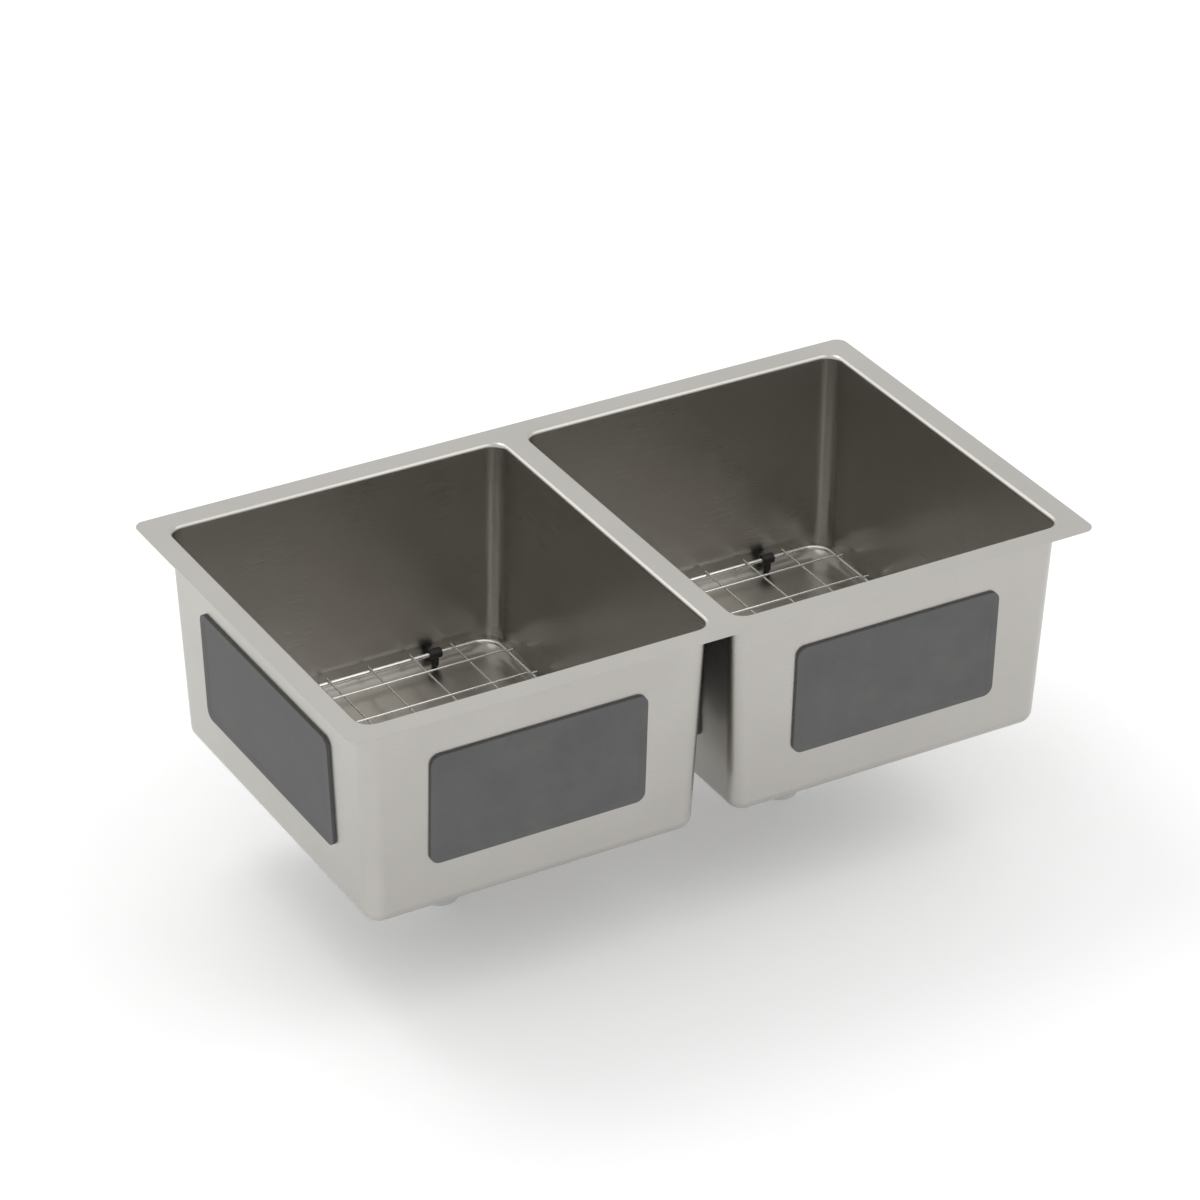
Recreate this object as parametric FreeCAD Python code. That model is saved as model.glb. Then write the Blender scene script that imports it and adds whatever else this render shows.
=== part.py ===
"""Undermount double bowl kitchen sink in stainless steel sheet.

Two bowls are welded to one flange, whose middle is the top of the divider between them. Each bowl has
damping pads, a basket strainer with its nuts, washers and tailpiece, a lift-out basket with a stopper,
and a wire bottom rack that stands on rubber feet.

Frame: +X to the right along the sink, +Y to the back wall, +Z up. The origin is the middle of the
divider, level with the flange's top face, by which the sink hangs. Millimetres.
"""
import FreeCAD
import Part
import math
import os

V = FreeCAD.Vector
X, Y, Z = V(1, 0, 0), V(0, 1, 0), V(0, 0, 1)

# ---------------------------------------------------------------- bowls and flange
sheet = 1.2                    # 18 gauge stainless steel
bowl_length = 367.0            # opening of one bowl along X, wall to wall at the rim
bowl_width = 414.0             # opening of one bowl along Y
bowl_depth = 229.0             # flange top to the floor beside the walls
divider_width = 28.0           # between the two bowls' inner walls at the rim
flange_margin = 25.5           # flange outside the bowls' openings
flange_corner = 12.0           # radius of the flange's outer corners
corner_radius = 16.0           # upright corners of a bowl, inside
floor_radius = 13.0            # rounding between floor and walls, inside
rim_radius = 4.5               # rounding between flange and walls, on top
weld_drop = 6.0                # flange top to the weld between the flange's rims and the bowls
wall_draft = 2.2               # degrees that the walls lean in towards the floor
floor_fall = 3.0               # fall of the floor from the walls to the drain
recess_radius = 60.0           # sunk seat round the drain hole
recess_depth = 2.5
drain_hole_radius = 44.5

# ---------------------------------------------------------------- damping pads
pad_thickness = 3.0
long_wall_pad = (230.0, 120.0)     # length and height of the pad on a front or back wall
side_wall_pad = (270.0, 120.0)     # the same on an end wall or a divider wall
pad_below_rim = 55.0               # flange top to the pads' upper edges
floor_pad = (270.0, 310.0)         # pad under a bowl, along X and Y
pad_corner = 10.0
floor_pad_corner = 40.0
floor_pad_hole = 76.0              # radius that it leaves free round the drain

# ---------------------------------------------------------------- basket strainer
strainer_flange_radius = 57.0
strainer_flange = 1.6              # thickness above the seat
flange_edge = 0.6                  # bevel of its rim
cup_radius = 42.5                  # outside of the threaded cup
cup_wall = 1.4
cup_depth = 42.0                   # seat to the cup's inner floor
neck_radius = 23.5                 # outside of the threaded outlet
neck_bore_radius = 20.0
neck_length = 20.0
rim_step_radius = 45.0             # step that the basket's rim lies in
rim_step_depth = 0.8
cross_bar = (4.0, 3.0)             # width and height of the two bars across the outlet
cross_drop = 6.0                   # cup floor to the top of the bars
cross_boss_radius = 7.0
cross_hole_radius = 4.5            # guides the stopper's stem loosely
thread_play = 0.15                 # radial play of the nuts on their threads
gasket_play = 0.5                  # radial play of the gasket and washer round the cup
gasket_thickness = 3.0
fibre_washer_thickness = 0.8
washer_radius = 56.0
locknut_height = 11.0
locknut_radius = 49.5
locknut_collar = 3.0
lug_count = 8
lug_size = (5.0, 8.0)              # how far a lug stands out, and its width

# ---------------------------------------------------------------- tailpiece and its slip nut
tail_radius = 19.05                # 1-1/2 inch tube
tail_wall = 1.0
tail_length = 66.0                 # top of its flange to the open end
tail_flange = 1.5
tail_bend = 2.3                    # rounding between its flange and its wall, outside
tail_flange_radius = 23.2
tail_washer_thickness = 2.0
slip_nut_wall = 4.0                # thread to the flats
slip_nut_height = 20.0
slip_nut_lip = 2.0
slip_nut_bevel = 1.5
slip_nut_play = 0.2                # radial play of the lip round the tailpiece's bend

# ---------------------------------------------------------------- lift-out basket and stopper
seat_gap = 0.25                    # pieces that lift off rest this far above what carries them
basket_wall = 0.9
basket_rim_play = 0.6              # radial play of the basket's rim in its step
basket_top_radius = 38.0
basket_floor_radius = 33.0
basket_depth = 27.0
basket_bend = 2.5                  # rounding between the basket's wall and floor, outside
basket_hole_radius = 2.0
basket_wall_rows = 2
basket_wall_holes = 16             # holes in each row
basket_floor_rings = ((13.5, 8), (24.0, 16))     # radius and count of floor holes
post_radius = 2.5
post_play = 0.35
post_end_bevel = 0.8
knob_radius = 9.0
knob_height = 8.0
knob_rounding = 2.5
knob_neck_radius = 5.0
knob_neck_height = 10.0
stopper_plate_radius = 14.0
stopper_plate = 1.5
seal_radius = 23.0
seal_thickness = 4.0
seal_bevel = 1.2
stem_nut_height = 3.0
stem_nut_flats = 10.0              # across flats
stem_play = 0.05                   # radial play of the seal and nut on the stem
stem_below_cross = 6.0

# ---------------------------------------------------------------- bottom racks
frame_wire = 4.6                   # diameter of the outer wire and the drain ring
thin_wire = 2.2                    # diameter of the wires across them
weld_sink = 0.2                    # resistance welds press crossing wires this far together
rack_height = 16.5                 # floor to the centre of the outer wire
rack_half_length = 163.0           # middle to the outer wire's centre, along X
rack_half_width = 187.5            # the same along Y
rack_corner = 22.0
cross_count = 6                    # wires that run front to back
cross_pitch = 47.0
long_count = 7                     # wires that run left to right, over the cross wires
long_pitch = 50.5
wire_overhang = 4.5                # wire ends past the outer wire's centre
joggle_from_end = 6.5              # a long wire's end to the bend down onto the outer wire
joggle_length = 6.0                # stretch in which it steps down
joggle_bend = 8.0
drain_ring_radius = 55.0
ring_overhang = 1.0                # wire ends past the drain ring's centre

# ---------------------------------------------------------------- rubber feet on the racks
sleeve_radius = 5.5
sleeve_length = 13.5
sleeve_rounding = 1.2
sleeve_play = 0.1                  # radial play round the wire, before the rubber grips
foot_radius = 4.0
foot_gap = 0.5                     # foot tips above the floor, where its rounding begins
feet_on_long_side = 97.0           # feet left and right of the middle, on the front and back
feet_on_short_side = 75.75         # feet before and behind the middle, on the ends

# ---------------------------------------------------------------- levels and places that follow
draft_slope = math.tan(math.radians(wall_draft))
floor_z = -bowl_depth
seat_z = floor_z - floor_fall - recess_depth
under_seat_z = seat_z - sheet
washer_z = under_seat_z - gasket_thickness
locknut_z = washer_z - fibre_washer_thickness
rim_step_z = seat_z + strainer_flange - rim_step_depth
cup_floor_z = seat_z - cup_depth
neck_z = cup_floor_z - cup_wall
neck_end_z = neck_z - neck_length
bars_z = cup_floor_z - cross_drop - cross_bar[1]
tail_z = neck_end_z - tail_washer_thickness
slip_nut_z = tail_z - tail_flange - slip_nut_lip
basket_rim_z = rim_step_z + seat_gap
basket_floor_z = basket_rim_z - basket_depth
seal_z = cup_floor_z + seat_gap
plate_z = seal_z + seal_thickness
neck_of_knob_z = basket_floor_z + basket_wall + seat_gap
frame_z = floor_z + rack_height
cross_z = frame_z + (frame_wire + thin_wire) / 2 - weld_sink
long_z = cross_z + thin_wire - weld_sink
bowl_centre_x = (divider_width + bowl_length) / 2
flange_length = 2 * bowl_length + divider_width + 2 * flange_margin
flange_width = bowl_width + 2 * flange_margin


def polar(radius, turn, z=0.0):
    """The point at this radius and height, turned this many degrees from the X axis."""
    return V(radius * math.cos(math.radians(turn)), radius * math.sin(math.radians(turn)), z)


def rounded_rectangle(length, width, radius, z):
    """A closed wire of four lines and four arcs, round the Z axis at height z."""
    corners = ((1, 1, 0), (-1, 1, 90), (-1, -1, 180), (1, -1, 270))
    arcs = []
    for sx, sy, start in corners:
        centre = V(sx * (length / 2 - radius), sy * (width / 2 - radius), z)
        points = [centre + polar(radius, start + turn) for turn in (0, 45, 90)]
        arcs.append(Part.Arc(*points).toShape())
    edges = []
    for arc, following in zip(arcs, arcs[1:] + arcs[:1]):
        edges.append(arc)
        edges.append(Part.makeLine(arc.Vertexes[-1].Point, following.Vertexes[0].Point))
    return Part.Wire(edges)


def eighths_of_circle(radius, z):
    """A circle in eight arcs, which pair with the edges of a rounded rectangle."""
    arcs = []
    for i in range(8):
        points = [polar(radius, 45 * i + turn, z) for turn in (22.5, 45, 67.5)]
        arcs.append(Part.Arc(*points).toShape())
    return Part.Wire(arcs)


def turned(profile):
    """The solid that a closed outline of (radius, z) points makes when it is turned round the Z axis."""
    points = [V(r, 0, z) for r, z in profile]
    face = Part.Face(Part.makePolygon(points + points[:1]))
    return face.revolve(V(0, 0, 0), Z, 360)


def tube(points, radius, bend):
    """A round bar along straight runs, with an arc of radius bend at each corner between them."""
    edges, start = [], points[0]
    for before, corner, after in zip(points, points[1:], points[2:]):
        towards, onwards = (corner - before).normalize(), (after - corner).normalize()
        turn = towards.getAngle(onwards)
        leave = corner - towards * (bend * math.tan(turn / 2))
        join = corner + onwards * (bend * math.tan(turn / 2))
        inwards = (onwards - towards).normalize()
        middle = corner + inwards * (bend / math.cos(turn / 2) - bend)
        edges.append(Part.makeLine(start, leave))
        edges.append(Part.Arc(leave, middle, join).toShape())
        start = join
    edges.append(Part.makeLine(start, points[-1]))
    section = Part.Wire(Part.makeCircle(radius, points[0], points[1] - points[0]))
    return Part.Wire(edges).makePipeShell([section], True, False)


def bowl_block(grow):
    """A bowl's hollow as a solid, with its walls and floor moved out by grow. It rises past the flange."""
    rise = 5.0
    length, width = bowl_length + 2 * grow, bowl_width + 2 * grow
    lean = 2 * draft_slope
    top = rounded_rectangle(length + rise * lean, width + rise * lean, corner_radius + grow, rise)
    drop = bowl_depth + grow
    bottom_size = (length - drop * lean, width - drop * lean)
    bottom = rounded_rectangle(*bottom_size, corner_radius + grow, -drop)
    walls = Part.makeLoft([top, bottom], True, True)
    floor_edges = [e for e in walls.Edges if e.BoundBox.ZMax < -drop + 0.01]
    walls = walls.makeFillet(floor_radius + grow, floor_edges)
    inset = 2 * (floor_radius + grow)
    crease = rounded_rectangle(bottom_size[0] - inset, bottom_size[1] - inset, corner_radius, -drop)
    fall = Part.makeLoft([crease, eighths_of_circle(recess_radius + grow, -drop - floor_fall)], True, True)
    recess = Part.makeCylinder(recess_radius + grow, floor_fall + recess_depth, V(0, 0, seat_z - grow))
    return walls.fuse([fall, recess]).removeSplitter()


def lies_at(edge, z, half_length):
    """Whether an edge is level at height z and within half_length of the middle, along X."""
    box = edge.BoundBox
    level = abs(box.ZMin - z) < 0.01 and abs(box.ZMax - z) < 0.01
    return level and max(box.XMax, -box.XMin) < half_length


def pressed_shell():
    """The right-hand bowl with its half of the flange, as if in one piece, open at the drain.

    The bowl's own middle is at the origin.
    """
    room = Part.makeBox(2 * bowl_length, 2 * bowl_width, 2 * bowl_depth,
                        V(-bowl_length, -bowl_width, -2 * bowl_depth))
    outline = rounded_rectangle(flange_length, flange_width, flange_corner, -sheet)
    flange = Part.Face(outline).extrude(Z * sheet)
    right_half = Part.makeBox(flange_length, 2 * flange_width, 4 * sheet, V(0, -flange_width, -2 * sheet))
    flange = flange.common(right_half).translated(X * -bowl_centre_x)
    pressed = bowl_block(sheet).common(room).fuse(flange).cut(bowl_block(0)).removeSplitter()
    near = bowl_length / 2 + 2 * sheet
    pressed = pressed.makeFillet(rim_radius, [e for e in pressed.Edges if lies_at(e, 0, near)])
    pressed = pressed.makeFillet(rim_radius - sheet, [e for e in pressed.Edges if lies_at(e, -sheet, near)])
    hole = Part.makeCylinder(drain_hole_radius, 4 * sheet, V(0, 0, seat_z - 2 * sheet))
    return pressed.cut(hole)


def above_weld():
    """A box that holds everything above the weld between flange and bowls."""
    return Part.makeBox(2 * flange_length, 2 * flange_width, 2 * weld_drop,
                        V(-flange_length, -flange_width, -weld_drop))


def flange():
    """The flange of both bowls with their rims, in the sink's frame."""
    right_half = pressed_shell().common(above_weld()).translated(X * bowl_centre_x)
    return right_half.fuse(right_half.mirror(V(0, 0, 0), X)).removeSplitter()


def pad_layer():
    """The space that damping pads fill on the outside of a bowl."""
    return bowl_block(sheet + pad_thickness).cut(bowl_block(sheet))


def wall_pads():
    """Four damping pads, one on each wall of a bowl."""
    layer, pads = pad_layer(), []
    for size, turn in ((side_wall_pad, 0), (long_wall_pad, 90), (side_wall_pad, 180), (long_wall_pad, 270)):
        outline = Part.Face(rounded_rectangle(size[1], size[0], pad_corner, 0)).extrude(Z * bowl_width)
        outline.rotate(V(0, 0, 0), Y, 90)
        outline.translate(Z * -(pad_below_rim + size[1] / 2))
        outline.rotate(V(0, 0, 0), Z, turn)
        pads.append(layer.common(outline).Solids[0])
    return Part.Compound(pads)


def floor_damping_pad():
    """The damping pad under a bowl's floor, open round the drain."""
    low = -2 * bowl_depth
    outline = Part.Face(rounded_rectangle(*floor_pad, floor_pad_corner, low)).extrude(Z * 1.5 * bowl_depth)
    around_drain = Part.makeCylinder(floor_pad_hole, 2 * bowl_depth, V(0, 0, low))
    return pad_layer().common(outline).cut(around_drain).Solids[0]


def ring(inner, outer, z, height):
    """A flat washer with its underside at z."""
    return turned(((inner, z), (outer, z), (outer, z + height), (inner, z + height)))


def strainer_cross():
    """The cross of bars in the strainer's outlet, with the boss that guides the stopper's stem."""
    width, height = cross_bar
    bar = Part.makeBox(2 * neck_radius, width, height, V(-neck_radius, -width / 2, bars_z))
    across = bar.copy()
    across.rotate(V(0, 0, 0), Z, 90)
    boss = Part.makeCylinder(cross_boss_radius, height, V(0, 0, bars_z))
    outlet = Part.makeCylinder(neck_bore_radius, height, V(0, 0, bars_z))
    stem_hole = Part.makeCylinder(cross_hole_radius, 3 * height, V(0, 0, bars_z - height))
    return bar.fuse([across, boss]).common(outlet).cut(stem_hole).removeSplitter()


def strainer_body():
    """The flanged cup with the threaded outlet under it."""
    bore = cup_radius - cup_wall
    top = seat_z + strainer_flange
    return turned((
        (neck_bore_radius, cup_floor_z), (bore, cup_floor_z), (bore, rim_step_z),
        (rim_step_radius, rim_step_z), (rim_step_radius, top), (strainer_flange_radius - flange_edge, top),
        (strainer_flange_radius, top - flange_edge), (strainer_flange_radius, seat_z), (cup_radius, seat_z),
        (cup_radius, neck_z), (neck_radius, neck_z), (neck_radius, neck_end_z),
        (neck_bore_radius, neck_end_z),
    ))


def strainer_locknut():
    """The large nut that pulls the strainer down onto the sink, with lugs for a spanner."""
    lug_length, width = lug_size
    reach = locknut_radius + lug_length
    bottom = locknut_z - locknut_height
    nut = Part.makeCylinder(locknut_radius, locknut_height, V(0, 0, bottom))
    collar = Part.makeCylinder(reach, locknut_collar, V(0, 0, locknut_z - locknut_collar))
    lugs = []
    for i in range(lug_count):
        inner_end = V(reach - 2 * lug_length, -width / 2, bottom)
        lug = Part.makeBox(2 * lug_length, width, locknut_height, inner_end)
        lug.rotate(V(0, 0, 0), Z, 360 / lug_count * i)
        lugs.append(lug)
    envelope = Part.makeCylinder(reach, locknut_height, V(0, 0, bottom))
    below = V(0, 0, bottom - locknut_height)
    thread = Part.makeCylinder(cup_radius + thread_play, 3 * locknut_height, below)
    return nut.fuse([collar] + lugs).common(envelope).cut(thread).removeSplitter()


def hexagon(flats, z, height):
    """A hexagonal prism of the given size across its flats."""
    radius = flats / 2 / math.cos(math.pi / 6)
    points = [polar(radius, 60 * i, z) for i in range(7)]
    return Part.Face(Part.makePolygon(points)).extrude(Z * height)


def slip_nut():
    """The hexagonal nut that holds the tailpiece's flange against the strainer's outlet."""
    thread_radius = neck_radius + thread_play
    flats = 2 * (thread_radius + slip_nut_wall)
    corner = flats / 2 / math.cos(math.pi / 6)
    top = slip_nut_z + slip_nut_height
    bevelled = turned((
        (0, slip_nut_z), (corner - slip_nut_bevel, slip_nut_z), (corner, slip_nut_z + slip_nut_bevel),
        (corner, top - slip_nut_bevel), (corner - slip_nut_bevel, top), (0, top),
    ))
    bore = Part.makeCylinder(thread_radius, slip_nut_height, V(0, 0, slip_nut_z + slip_nut_lip))
    below = V(0, 0, slip_nut_z - slip_nut_lip)
    tail_hole = Part.makeCylinder(tail_radius + tail_bend + slip_nut_play, slip_nut_height, below)
    return hexagon(flats, slip_nut_z, slip_nut_height).common(bevelled).cut(bore).cut(tail_hole)


def tailpiece():
    """The flanged tube that leads down from the strainer."""
    inner, under = tail_radius - tail_wall, tail_z - tail_flange
    tail = turned((
        (inner, tail_z), (tail_flange_radius, tail_z), (tail_flange_radius, under), (tail_radius, under),
        (tail_radius, tail_z - tail_length), (inner, tail_z - tail_length),
    ))
    return tail.makeFillet(tail_bend, [e for e in tail.Edges if lies_at(e, under, tail_radius + 0.01)])


def basket_holes():
    """Cylinders for the holes in a basket's floor and wall."""
    holes = []
    for radius, count in basket_floor_rings:
        for i in range(count):
            place = polar(radius, 360 * (i + 0.5) / count, basket_floor_z - basket_depth / 2)
            holes.append(Part.makeCylinder(basket_hole_radius, basket_depth, place))
    for row in range(basket_wall_rows):
        z = basket_floor_z + basket_depth * (row + 1) / (basket_wall_rows + 1)
        for i in range(basket_wall_holes):
            outwards = polar(1, 360 * (i + row / 2) / basket_wall_holes)
            place = outwards * (basket_floor_radius / 2) + Z * z
            holes.append(Part.makeCylinder(basket_hole_radius, basket_floor_radius, place, outwards))
    return holes


def basket():
    """The perforated cup that hangs in the strainer by its rim."""
    rim_radius_out = rim_step_radius - basket_rim_play
    inner_floor = basket_floor_z + basket_wall
    cup = turned((
        (0, basket_floor_z), (basket_floor_radius, basket_floor_z), (basket_top_radius, basket_rim_z),
        (rim_radius_out, basket_rim_z), (rim_radius_out, basket_rim_z + basket_wall),
        (basket_top_radius - basket_wall, basket_rim_z + basket_wall),
        (basket_floor_radius - basket_wall, inner_floor), (0, inner_floor),
    ))
    outside = [e for e in cup.Edges if lies_at(e, basket_floor_z, basket_top_radius)]
    cup = cup.makeFillet(basket_bend, outside)
    inside = [e for e in cup.Edges if lies_at(e, inner_floor, basket_floor_radius)]
    cup = cup.makeFillet(basket_bend - basket_wall, inside)
    below = V(0, 0, basket_floor_z - basket_depth / 2)
    post_hole = Part.makeCylinder(post_radius + post_play, basket_depth, below)
    return cup.cut([post_hole] + basket_holes())


def stopper_post():
    """The stem with its knob on top and the plate that presses on the seal."""
    foot = bars_z - stem_below_cross
    knob_z = neck_of_knob_z + knob_neck_height
    top = knob_z + knob_height
    plate_top = plate_z + stopper_plate
    post = turned((
        (0, foot), (post_radius - post_end_bevel, foot), (post_radius, foot + post_end_bevel),
        (post_radius, plate_z), (stopper_plate_radius, plate_z), (stopper_plate_radius, plate_top),
        (post_radius, plate_top), (post_radius, neck_of_knob_z), (knob_neck_radius, neck_of_knob_z),
        (knob_neck_radius, knob_z), (knob_radius, knob_z), (knob_radius, top), (0, top),
    ))
    return post.makeFillet(knob_rounding, [e for e in post.Edges if lies_at(e, top, 2 * knob_radius)])


def stopper_seal():
    """The rubber disc that closes the strainer's outlet."""
    hole, top = post_radius + stem_play, seal_z + seal_thickness
    return turned((
        (hole, seal_z), (seal_radius - seal_bevel, seal_z), (seal_radius, seal_z + seal_bevel),
        (seal_radius, top - seal_bevel), (seal_radius - seal_bevel, top), (hole, top),
    ))


def stopper_nut():
    """The small nut that clamps the seal to its plate."""
    nut = hexagon(stem_nut_flats, seal_z - stem_nut_height, stem_nut_height)
    below = V(0, 0, seal_z - 2 * stem_nut_height)
    hole = Part.makeCylinder(post_radius + stem_play, 3 * stem_nut_height, below)
    return nut.cut(hole)


def rack_frame():
    """The heavy wire round the outside of a rack, in four straight lengths and four bends."""
    lengths = []
    for edge in rounded_rectangle(2 * rack_half_length, 2 * rack_half_width, rack_corner, frame_z).Edges:
        start, heading = edge.valueAt(edge.FirstParameter), edge.tangentAt(edge.FirstParameter)
        section = Part.Wire(Part.makeCircle(frame_wire / 2, start, heading))
        lengths.append(Part.Wire([edge]).makePipeShell([section], True, False))
    return Part.Compound(lengths)


def rack_drain_ring():
    """The heavy wire ring over the drain, wide enough for the basket to lift out."""
    return Part.makeTorus(drain_ring_radius, frame_wire / 2, V(0, 0, frame_z))


def even_places(count, pitch):
    """Places at an even pitch, on both sides of the middle."""
    return [(i - (count - 1) / 2) * pitch for i in range(count)]


def rack_cross_wires():
    """The straight wires from front to back. The two nearest the middle stop at the drain ring."""
    wires, end = [], rack_half_width + wire_overhang
    for x in even_places(cross_count, cross_pitch):
        spans = [(-end, end)]
        if abs(x) < cross_pitch:
            at_ring = math.sqrt(drain_ring_radius ** 2 - x ** 2) - ring_overhang
            spans = [(-end, -at_ring), (at_ring, end)]
        for first, last in spans:
            wires.append(Part.makeCylinder(thin_wire / 2, last - first, V(x, first, cross_z), Y))
    return Part.Compound(wires)


def long_wire(first, last, y):
    """A wire that runs over the cross wires and steps down at both ends onto heavier wire."""
    leave, arrive = joggle_from_end, joggle_from_end + joggle_length
    points = [
        V(first, y, cross_z), V(first + leave, y, cross_z), V(first + arrive, y, long_z),
        V(last - arrive, y, long_z), V(last - leave, y, cross_z), V(last, y, cross_z),
    ]
    return tube(points, thin_wire / 2, joggle_bend)


def rack_long_wires():
    """The wires from left to right. The one in the middle stops at the drain ring."""
    wires, end, at_ring = [], rack_half_length + wire_overhang, drain_ring_radius - ring_overhang
    for y in even_places(long_count, long_pitch):
        spans = [(-end, -at_ring), (at_ring, end)] if abs(y) < long_pitch / 2 else [(-end, end)]
        wires += [long_wire(first, last, y) for first, last in spans]
    return Part.Compound(wires)


def rubber_foot():
    """A rubber sleeve for a wire along X at the origin, with a round-ended foot that reaches the floor."""
    sleeve = Part.makeCylinder(sleeve_radius, sleeve_length, V(-sleeve_length / 2, 0, 0), X)
    rims = [e for e in sleeve.Edges if e.BoundBox.XLength < 0.01]
    sleeve = sleeve.makeFillet(sleeve_rounding, rims)
    tip = rack_height - foot_gap - foot_radius
    foot = Part.makeCylinder(foot_radius, tip, V(0, 0, -tip))
    foot = foot.fuse(Part.makeSphere(foot_radius, V(0, 0, -tip)))
    wire = Part.makeCylinder(frame_wire / 2 + sleeve_play, 2 * sleeve_length, V(-sleeve_length, 0, 0), X)
    return sleeve.fuse(foot).cut(wire).removeSplitter()


def rack_feet():
    """Eight rubber feet, two on each side of a rack's outer wire."""
    feet = []
    along, across = rubber_foot(), rubber_foot()
    across.rotate(V(0, 0, 0), Z, 90)
    for sx, sy in ((1, 1), (-1, 1), (-1, -1), (1, -1)):
        feet.append(along.translated(V(sx * feet_on_long_side, sy * rack_half_width, frame_z)))
        feet.append(across.translated(V(sx * rack_half_length, sy * feet_on_short_side, frame_z)))
    return Part.Compound(feet)


def pieces_of_one_bowl():
    """Every piece of the right-hand bowl by name, with the bowl's middle at the origin."""
    washer_hole = cup_radius + gasket_play
    return {
        "bowl": pressed_shell().cut(above_weld()),
        "wall_pads": wall_pads(),
        "floor_pad": floor_damping_pad(),
        "strainer_body": strainer_body(),
        "strainer_cross": strainer_cross(),
        "strainer_gasket": ring(washer_hole, washer_radius, washer_z, gasket_thickness),
        "friction_washer": ring(washer_hole, washer_radius, locknut_z, fibre_washer_thickness),
        "strainer_locknut": strainer_locknut(),
        "tailpiece_washer": ring(neck_bore_radius, tail_flange_radius, tail_z, tail_washer_thickness),
        "tailpiece": tailpiece(),
        "slip_nut": slip_nut(),
        "basket": basket(),
        "stopper_post": stopper_post(),
        "stopper_seal": stopper_seal(),
        "stopper_nut": stopper_nut(),
        "rack_frame": rack_frame(),
        "rack_drain_ring": rack_drain_ring(),
        "rack_cross_wires": rack_cross_wires(),
        "rack_long_wires": rack_long_wires(),
        "rack_feet": rack_feet(),
    }


os.makedirs("parts", exist_ok=True)
flange().exportStep("parts/flange.step")
for name, shape in pieces_of_one_bowl().items():
    shape.translated(X * bowl_centre_x).exportStep("parts/" + name + "_right.step")
    shape.mirror(V(0, 0, 0), X).translated(X * -bowl_centre_x).exportStep("parts/" + name + "_left.step")
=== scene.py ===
import math

import bmesh
import bpy
from mathutils import Matrix, Vector


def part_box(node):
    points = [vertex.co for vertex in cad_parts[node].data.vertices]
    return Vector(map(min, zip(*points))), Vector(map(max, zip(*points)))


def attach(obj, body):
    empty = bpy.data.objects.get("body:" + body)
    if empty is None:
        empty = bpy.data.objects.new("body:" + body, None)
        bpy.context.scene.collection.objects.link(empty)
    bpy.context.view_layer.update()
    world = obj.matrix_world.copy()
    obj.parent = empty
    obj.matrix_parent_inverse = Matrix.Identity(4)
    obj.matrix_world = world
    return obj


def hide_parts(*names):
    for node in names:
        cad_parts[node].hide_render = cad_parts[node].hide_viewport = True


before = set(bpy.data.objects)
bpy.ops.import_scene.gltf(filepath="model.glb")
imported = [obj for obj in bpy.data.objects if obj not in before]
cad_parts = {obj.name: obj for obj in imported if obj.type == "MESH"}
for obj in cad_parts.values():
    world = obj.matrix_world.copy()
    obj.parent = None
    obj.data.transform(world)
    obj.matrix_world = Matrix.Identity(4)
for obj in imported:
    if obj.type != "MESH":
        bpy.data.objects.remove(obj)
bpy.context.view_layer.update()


# ------------------------------------------------------------------ flange
# One stainless steel sheet, 1.2 mm thick, with an opening for each bowl whose rim is drawn down 6 mm to the
# weld. The sink hangs by its top face, and the bar between the openings is the divider's top. Brushed satin.

MM = 0.001
NEAR = 0.01 * MM                    # lengths that differ by less are the same
SIDES = {"left": -1, "right": 1}
CENTRES = {side: sum(corner[0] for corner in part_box("strainer_body_" + side)) / 2 for side in SIDES}
SHEET = 1.2 * MM
BOWL_OPENING = (367 * MM, 414 * MM)
DIVIDER = 28 * MM
FLANGE_MARGIN = 25.5 * MM
FLANGE_CORNER = 12 * MM
WALL_DRAFT = math.radians(2.2)
CORNER_RADIUS = 16 * MM
RIM_RADIUS = 4.5 * MM
WELD_DROP = 6 * MM
STRIPS = 8                          # strips across each wall and steps round each corner
SHEET_EDGE = 0.25 * MM              # rounding that grinding leaves on the sheet's edges


def leave_edit_mode():
    """Closes the piece that is open in edit mode, if there is one."""
    if bpy.context.object and bpy.context.object.mode == "EDIT":
        bpy.ops.object.mode_set(mode="OBJECT")


def choose(piece):
    """Makes a piece the active one, and the only one that is selected."""
    bpy.ops.object.select_all(action="DESELECT")
    piece.select_set(True)
    bpy.context.view_layer.objects.active = piece


def begin(name, add, **options):
    """Adds a primitive at the origin, names it and opens it in edit mode, all selected."""
    leave_edit_mode()
    bpy.ops.object.select_all(action="DESELECT")
    add(location=(0, 0, 0), **options)
    bpy.ops.object.transform_apply(location=True, rotation=True, scale=True)
    piece = bpy.context.object
    piece.name = piece.data.name = name
    bpy.ops.object.mode_set(mode="EDIT")
    bpy.ops.mesh.select_mode(type="VERT")
    bpy.ops.mesh.select_all(action="SELECT")
    return piece


def pick(kind, test):
    """Selects what passes the test among the open piece's VERTs, EDGEs or FACEs."""
    mesh = bmesh.from_edit_mesh(bpy.context.edit_object.data)
    bpy.ops.mesh.select_mode(type=kind)
    bpy.ops.mesh.select_all(action="DESELECT")
    items = {"VERT": mesh.verts, "EDGE": mesh.edges, "FACE": mesh.faces}[kind]
    items.index_update()
    for item in [i for i in items if test(i)]:
        item.select_set(True)
    mesh.select_flush_mode()
    bmesh.update_edit_mesh(bpy.context.edit_object.data)


def level(item, z):
    """Whether all points of an edge or a face lie at height z."""
    return all(abs(point.co.z - z) < NEAR for point in item.verts)


def middle(item):
    """The middle of an edge's or a face's points."""
    return sum((point.co for point in item.verts), Vector()) / len(item.verts)


def move(x=0.0, y=0.0, z=0.0):
    """Moves the selection."""
    bpy.ops.transform.translate(value=(x, y, z))


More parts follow.
